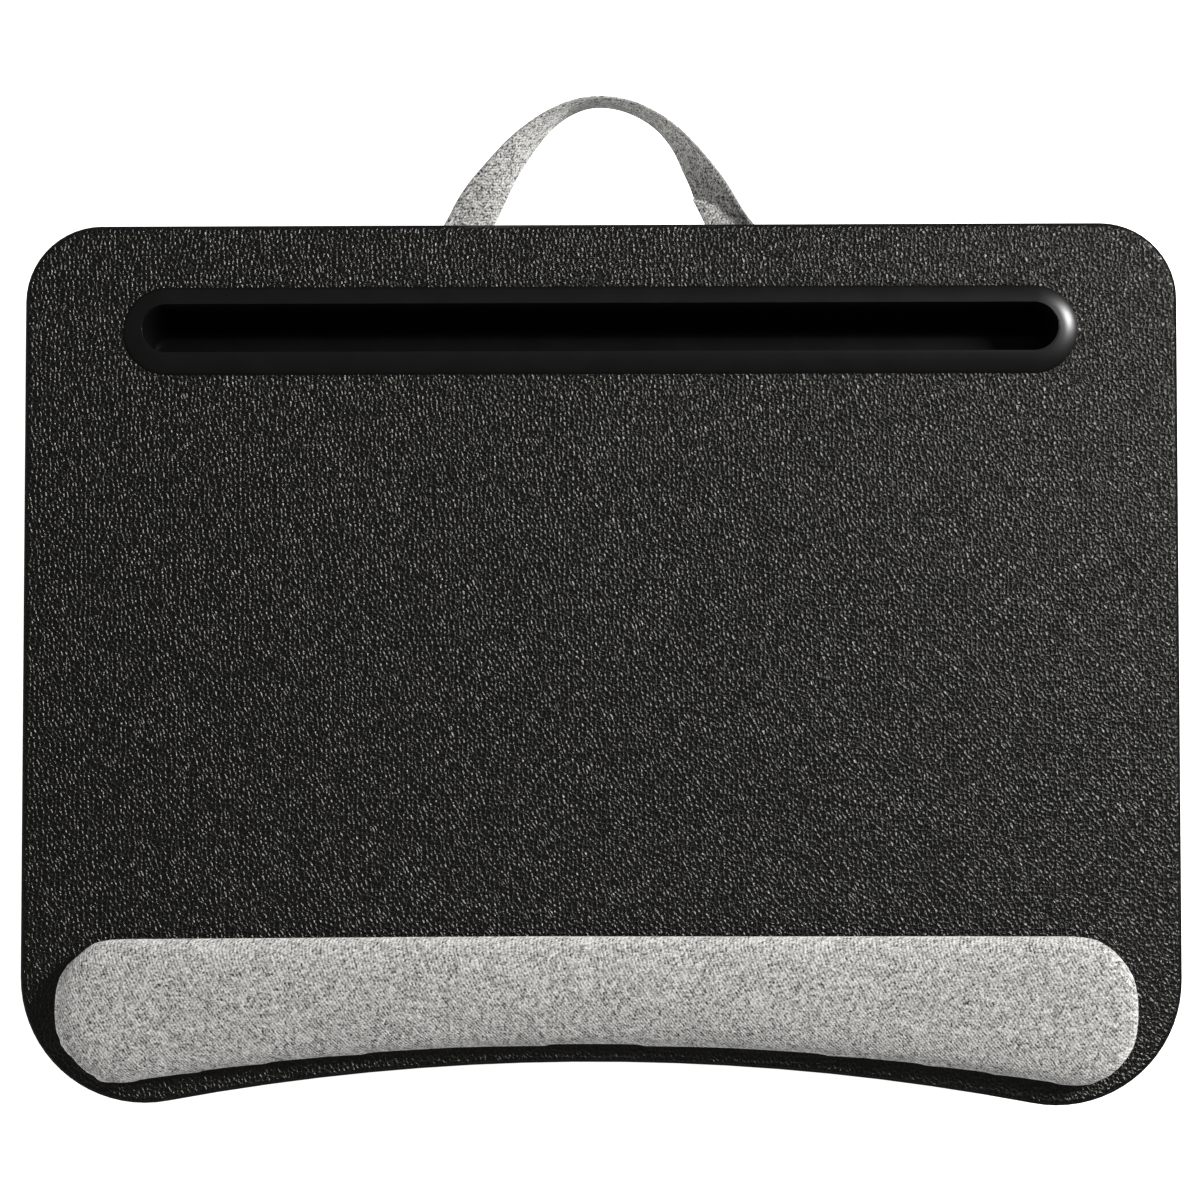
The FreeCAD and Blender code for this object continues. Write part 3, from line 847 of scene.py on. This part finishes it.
class LAPTRAY_OT_cushion(bpy.types.Operator):
    """Swells the two lobes of the lap cushion, sews their seams and dresses the panel above them"""

    bl_idname = "laptray.cushion"
    bl_label = "Lap cushion"

    def execute(self, context):
        cushion = context.scene.lap_tray.cushion
        cloth = woven_cloth("cushion_cloth", cushion.light_yarn, cushion.dark_yarn, LOBE_YARN, LOBE_FLOAT)
        for side in ("left", "right"):
            name = f"cushion_{side}"
            cover, fill = f"cushion_cover_{side}", f"cushion_fill_{side}"
            lobe = add_piece(name, merged_copy(name, fill), cloth)
            low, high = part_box(cover)
            remeshed(lobe, cushion.voxel, 3)
            fit_to(lobe, low + LOBE_INSET_LOW, high - LOBE_INSET_HIGH)
            swell(lobe, self.held, cushion.pressure, cushion.swell)
            subdivide(lobe)
            gather_seam(lobe, cushion.pucker)
            settle(lobe)
            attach(lobe, "tray")
            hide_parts(cover, fill)
        panel = add_piece("cushion_panel_cloth", merged_copy("cushion_panel_cloth", "cushion_panel"), cloth)
        smooth_edges(panel, PANEL_ROUND, 3)
        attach(panel, "tray")
        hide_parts("cushion_panel")
        line = edge_line(panel, COVER_HIGH.z + SEAM_RISE, SEAM_PLACES)
        seam = sew("cushion_stitches", line, stitch_tree(), thread())
        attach(seam, "tray")
        return {"FINISHED"}

    @staticmethod
    def held(place):
        """Sewn down along the panel, along the channel's seam and round the slot's pocket."""
        at_panel = ease(place.z, COVER_HIGH.z - SEAM_BAND, COVER_HIGH.z - SEAM_BAND / 2)
        at_centre = 1 - ease(abs(place.x), CENTRE_BAND / 2, CENTRE_BAND)
        in_pocket = 1 if under_slot(place, POCKET_MARGIN) and place.z > SLOT_LOW.z / 2 else 0
        return max(at_panel, at_centre, in_pocket)


# Carrying strap

STRAP_POINTS = 40
STRAP_END_SECTIONS = 10
CREASE_EARLY = 0.05           # the right leg's outer edge starts to twist before the bend, by this share,
CREASE_LATE = 0.15            # and its inner edge after it
RIGHT_BULGE = 2.4 * MM        # how far the right leg stands out of the even curve
END_INSET = 0.3 * MM          # the ends stop this short of their CAD solids
STRAP_SHARP_ANGLE = math.radians(25)
# Twist in degrees against the way from an end, 0, to the middle of the loop, 1. The right leg is creased
# where it leaves the deck.
LEFT_TWIST = ((0, 0), (0.2, 44), (0.356, 59), (0.587, 77), (0.78, 86), (1, 90))
RIGHT_TWIST = ((0, 0), (0.012, 30), (0.2, 54), (0.356, 69), (0.587, 82), (0.78, 87), (1, 90))


def strap_outline():
    """Points round the strap's section as (across, through) shares of its half width and half thickness:
    two layers of cloth, pressed thin at the folded edges."""
    points = []
    for i in range(STRAP_POINTS):
        turn = 2 * math.pi * i / STRAP_POINTS
        across, through = math.cos(turn), math.sin(turn)
        points.append((across, math.copysign(abs(through) ** 0.6, through)))
    return points


def along_table(table, value):
    """Smooth reading between the rows of a rising table, which levels off at its last row."""
    for (x0, y0), (x1, y1) in zip(table, table[1:]):
        if value <= x1:
            break
    i = table.index((x0, y0))
    before = table[i - 1] if i > 0 else (x0, y0)
    after = table[i + 2] if i + 2 < len(table) else (2 * x1 - x0, y0)
    width = x1 - x0
    share = (value - x0) / width
    rise_in = (y1 - before[1]) / (x1 - before[0]) * width
    rise_out = (after[1] - y0) / (after[0] - x0) * width
    rest = 1 - share
    start = y0 * (1 + 2 * share) + rise_in * share
    end = y1 * (1 + 2 * rest) - rise_out * rest
    return start * rest**2 + end * share**2


def strap_reach(strap):
    """How far the loop stands out of the bend, and how far u runs on under the deck."""
    rise = LOOP_HIGH.y - BEND.y - strap.thickness / 2
    return rise, (BEND.y - END_LOW.y - END_INSET) / (2 * rise)


def strap_section(strap, u, outline):
    """The strap's section at u from -1 (left end) to 1 (right end). Beyond those it runs on under the deck,
    where it is cut off in line with the deck's rear edge."""
    rise, under = strap_reach(strap)
    held = min(max(u, -1), 1)
    beyond = u - held
    run = Vector((strap.span / 2, -2 * rise * held, 0))
    place = Vector((strap.span / 2 * held, BEND.y + rise * (1 - held**2), BEND.z)) + run * beyond
    if u > 0:
        place.x += RIGHT_BULGE * math.sin(math.pi * held)
    run.normalize()
    outward = Vector((-run.y, run.x, 0))
    places = []
    for across, through in outline:
        past = 1 - abs(u)
        if u > 0:
            slant = CREASE_EARLY * (1 + across) / 2 - CREASE_LATE * (1 - across) / 2
            past += slant * ease(u, 0.4, 0.8)
        past = max(past, 0)
        twist = math.radians(along_table(LEFT_TWIST if u < 0 else RIGHT_TWIST, past))
        wide = outward * math.cos(twist) + Vector((0, 0, math.sin(twist)))
        thick = Vector((0, 0, math.cos(twist))) - outward * math.sin(twist)
        point = place + wide * (across * strap.width / 2) + thick * (through * strap.thickness / 2)
        if beyond:
            point += run * ((place.y - point.y) / run.y * abs(beyond) / under)
        places.append(point)
    return places


def strap_mesh(strap):
    """The whole strap: its two ends under the deck and the twisted loop between them."""
    outline = strap_outline()
    under = strap_reach(strap)[1]
    left = [-1 - under * (1 - i / STRAP_END_SECTIONS) for i in range(STRAP_END_SECTIONS)]
    loop = [-1 + 2 * i / strap.sections for i in range(strap.sections + 1)]
    stations = left + loop + [-u for u in reversed(left)]
    sections = [strap_section(strap, u, outline) for u in stations]
    body = bmesh.new()
    uv = body.loops.layers.uv.new("run")
    rings = [[body.verts.new(place) for place in section] for section in sections]
    length = 0.0
    count = len(outline)
    half = count // 2
    around = [
        across * strap.width / 2 + (0 if through > 0 else 2 * strap.width) for across, through in outline
    ]
    for before, after in zip(rings, rings[1:]):
        step = (after[0].co + after[half].co - before[0].co - before[half].co).length / 2
        for i in range(count):
            j = (i + 1) % count
            face = body.faces.new((before[i], before[j], after[j], after[i]))
            runs = (length, length, length + step, length + step)
            for loop_corner, along, k in zip(face.loops, runs, (i, j, j, i)):
                loop_corner[uv].uv = (along, around[k])
        length += step
    body.faces.new(rings[0])
    body.faces.new(list(reversed(rings[-1])))
    bmesh.ops.recalc_face_normals(body, faces=body.faces)
    mesh = bpy.data.meshes.new("carrying_strap")
    body.to_mesh(mesh)
    body.free()
    mesh.shade_smooth()
    mesh.set_sharp_from_angle(angle=STRAP_SHARP_ANGLE)
    return mesh


class LAPTRAY_OT_strap(bpy.types.Operator):
    """Lays the cloth strap from under the deck, round its twisted loop and back"""

    bl_idname = "laptray.strap"
    bl_label = "Carrying strap"

    def execute(self, context):
        strap, rest = context.scene.lap_tray.strap, context.scene.lap_tray.wrist_rest
        light, dark = tinted(rest.light_yarn, 0.95), tinted(rest.dark_yarn, 0.6)
        size = rest.yarn_width, rest.yarn_float
        cloth = woven_cloth("strap_cloth", light, dark, *size, follows_strap=True)
        piece = add_piece("carrying_strap", strap_mesh(strap), cloth)
        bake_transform(piece)
        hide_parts("strap_loop", "strap_end_left", "strap_end_right")
        return {"FINISHED"}


# Stage

FLOOR_HALF = 40.0
FLOOR_GAP = 0.3 * MM          # below the cushion
FLOOR_GLOW = 0.9
WORLD_GLOW = 0.10
MAIN_PLACE, MAIN_SIDE, MAIN_POWER = (1.20, 0.56, 0.96), 0.4, 36
FILL_WIDTH, FILL_HEIGHT = 1.4, 0.8
LEFT_PLACE, LEFT_POWER = (-1.9, 0.5, 0.9), 18
FRONT_PLACE, FRONT_POWER = (-1.3, -1.9, 0.4), 22
CAMERA_TARGET = Vector((0.5 * MM, -1.6 * MM, DECK_HIGH.z))


def softbox(name, place, target, width, height, power):
    """A soft area light that faces a target."""
    light = bpy.data.lights.new(name, "AREA")
    light.shape = "RECTANGLE"
    light.size = width
    light.size_y = height
    light.energy = power
    lamp = bpy.data.objects.new(name, light)
    lamp.location = place
    lamp.rotation_euler = (Vector(target) - Vector(place)).to_track_quat("-Z", "Y").to_euler()
    bpy.context.scene.collection.objects.link(lamp)
    return lamp


class LAPTRAY_OT_stage(bpy.types.Operator):
    """Puts the floor, the soft lights and the camera in place"""

    bl_idname = "laptray.stage"
    bl_label = "Stage"

    def execute(self, context):
        stage = context.scene.lap_tray.stage
        self.floor(stage)
        self.lights(context)
        self.camera(context, stage)
        return {"FINISHED"}

    def floor(self, stage):
        material, shader, place = new_material("floor")
        cloud = place.noise(1.5)
        colour = cloud.ramp([(0.0, tinted(stage.floor_colour, 0.98)), (1.0, stage.floor_colour)])
        dress(shader, colour, 0.8 + cloud * 0.1, cloud, 0.01 * MM)
        shader.inputs["Emission Color"].default_value = (1, 1, 1, 1)
        shader.inputs["Emission Strength"].default_value = FLOOR_GLOW
        mesh = bpy.data.meshes.new("floor")
        signs = ((-1, -1), (1, -1), (1, 1), (-1, 1))
        corners = [(x * FLOOR_HALF, y * FLOOR_HALF, -FLOOR_GAP) for x, y in signs]
        mesh.from_pydata(corners, [], [(0, 1, 2, 3)])
        floor = add_piece("floor", mesh, material)
        floor.visible_glossy = False

    def lights(self, context):
        middle = (0, 0, DECK_HIGH.z)
        softbox("main_light", MAIN_PLACE, middle, MAIN_SIDE, MAIN_SIDE, MAIN_POWER)
        left = softbox("left_fill", LEFT_PLACE, middle, FILL_WIDTH, FILL_HEIGHT, LEFT_POWER)
        front = softbox("front_fill", FRONT_PLACE, middle, FILL_WIDTH, FILL_HEIGHT, FRONT_POWER)
        left.visible_glossy = front.visible_glossy = False     # they light the cloth, not the leatherette
        world = bpy.data.worlds.new("studio")
        world.use_nodes = True
        background = world.node_tree.nodes["Background"]
        background.inputs["Color"].default_value = (1.0, 1.0, 1.0, 1.0)
        background.inputs["Strength"].default_value = WORLD_GLOW
        context.scene.world = world
        context.scene.view_settings.view_transform = "Standard"

    def camera(self, context, stage):
        data = bpy.data.cameras.new("camera")
        data.sensor_width = 36
        data.lens = data.sensor_width * stage.camera_distance / stage.frame_width
        camera = bpy.data.objects.new("camera", data)
        back = Vector((math.sin(stage.lean_right), -math.sin(stage.lean_front), 1)).normalized()
        right = Vector((0, 1, 0)).cross(back).normalized()
        turn = Matrix((right, back.cross(right), back)).transposed().to_4x4()
        camera.matrix_world = Matrix.Translation(CAMERA_TARGET + back * stage.camera_distance) @ turn
        context.scene.collection.objects.link(camera)
        context.scene.camera = camera


class LAPTRAY_PT_panel(bpy.types.Panel):
    """Lists the steps that build the lap tray."""

    bl_idname = "LAPTRAY_PT_panel"
    bl_label = "Lap tray"
    bl_space_type = "VIEW_3D"
    bl_region_type = "UI"
    bl_category = "Lap tray"

    def draw(self, context):
        for step in STEPS:
            self.layout.operator(step.bl_idname)


SETTINGS = (DeckSettings, WristRestSettings, CushionSettings, StrapSettings, StageSettings, LapTraySettings)
STEPS = (
    LAPTRAY_OT_deck,
    LAPTRAY_OT_slot,
    LAPTRAY_OT_wrist_rest,
    LAPTRAY_OT_cushion,
    LAPTRAY_OT_strap,
    LAPTRAY_OT_stage,
)
CLASSES = (*SETTINGS, *STEPS, LAPTRAY_PT_panel)


def register():
    for kind in CLASSES:
        bpy.utils.register_class(kind)
    bpy.types.Scene.lap_tray = PointerProperty(type=LapTraySettings)


def unregister():
    del bpy.types.Scene.lap_tray
    for kind in reversed(CLASSES):
        bpy.utils.unregister_class(kind)


def main():
    register()
    bpy.ops.laptray.deck()
    bpy.ops.laptray.slot()
    bpy.ops.laptray.wrist_rest()
    bpy.ops.laptray.cushion()
    bpy.ops.laptray.strap()
    bpy.ops.laptray.stage()


if __name__ == "__main__":
    main()
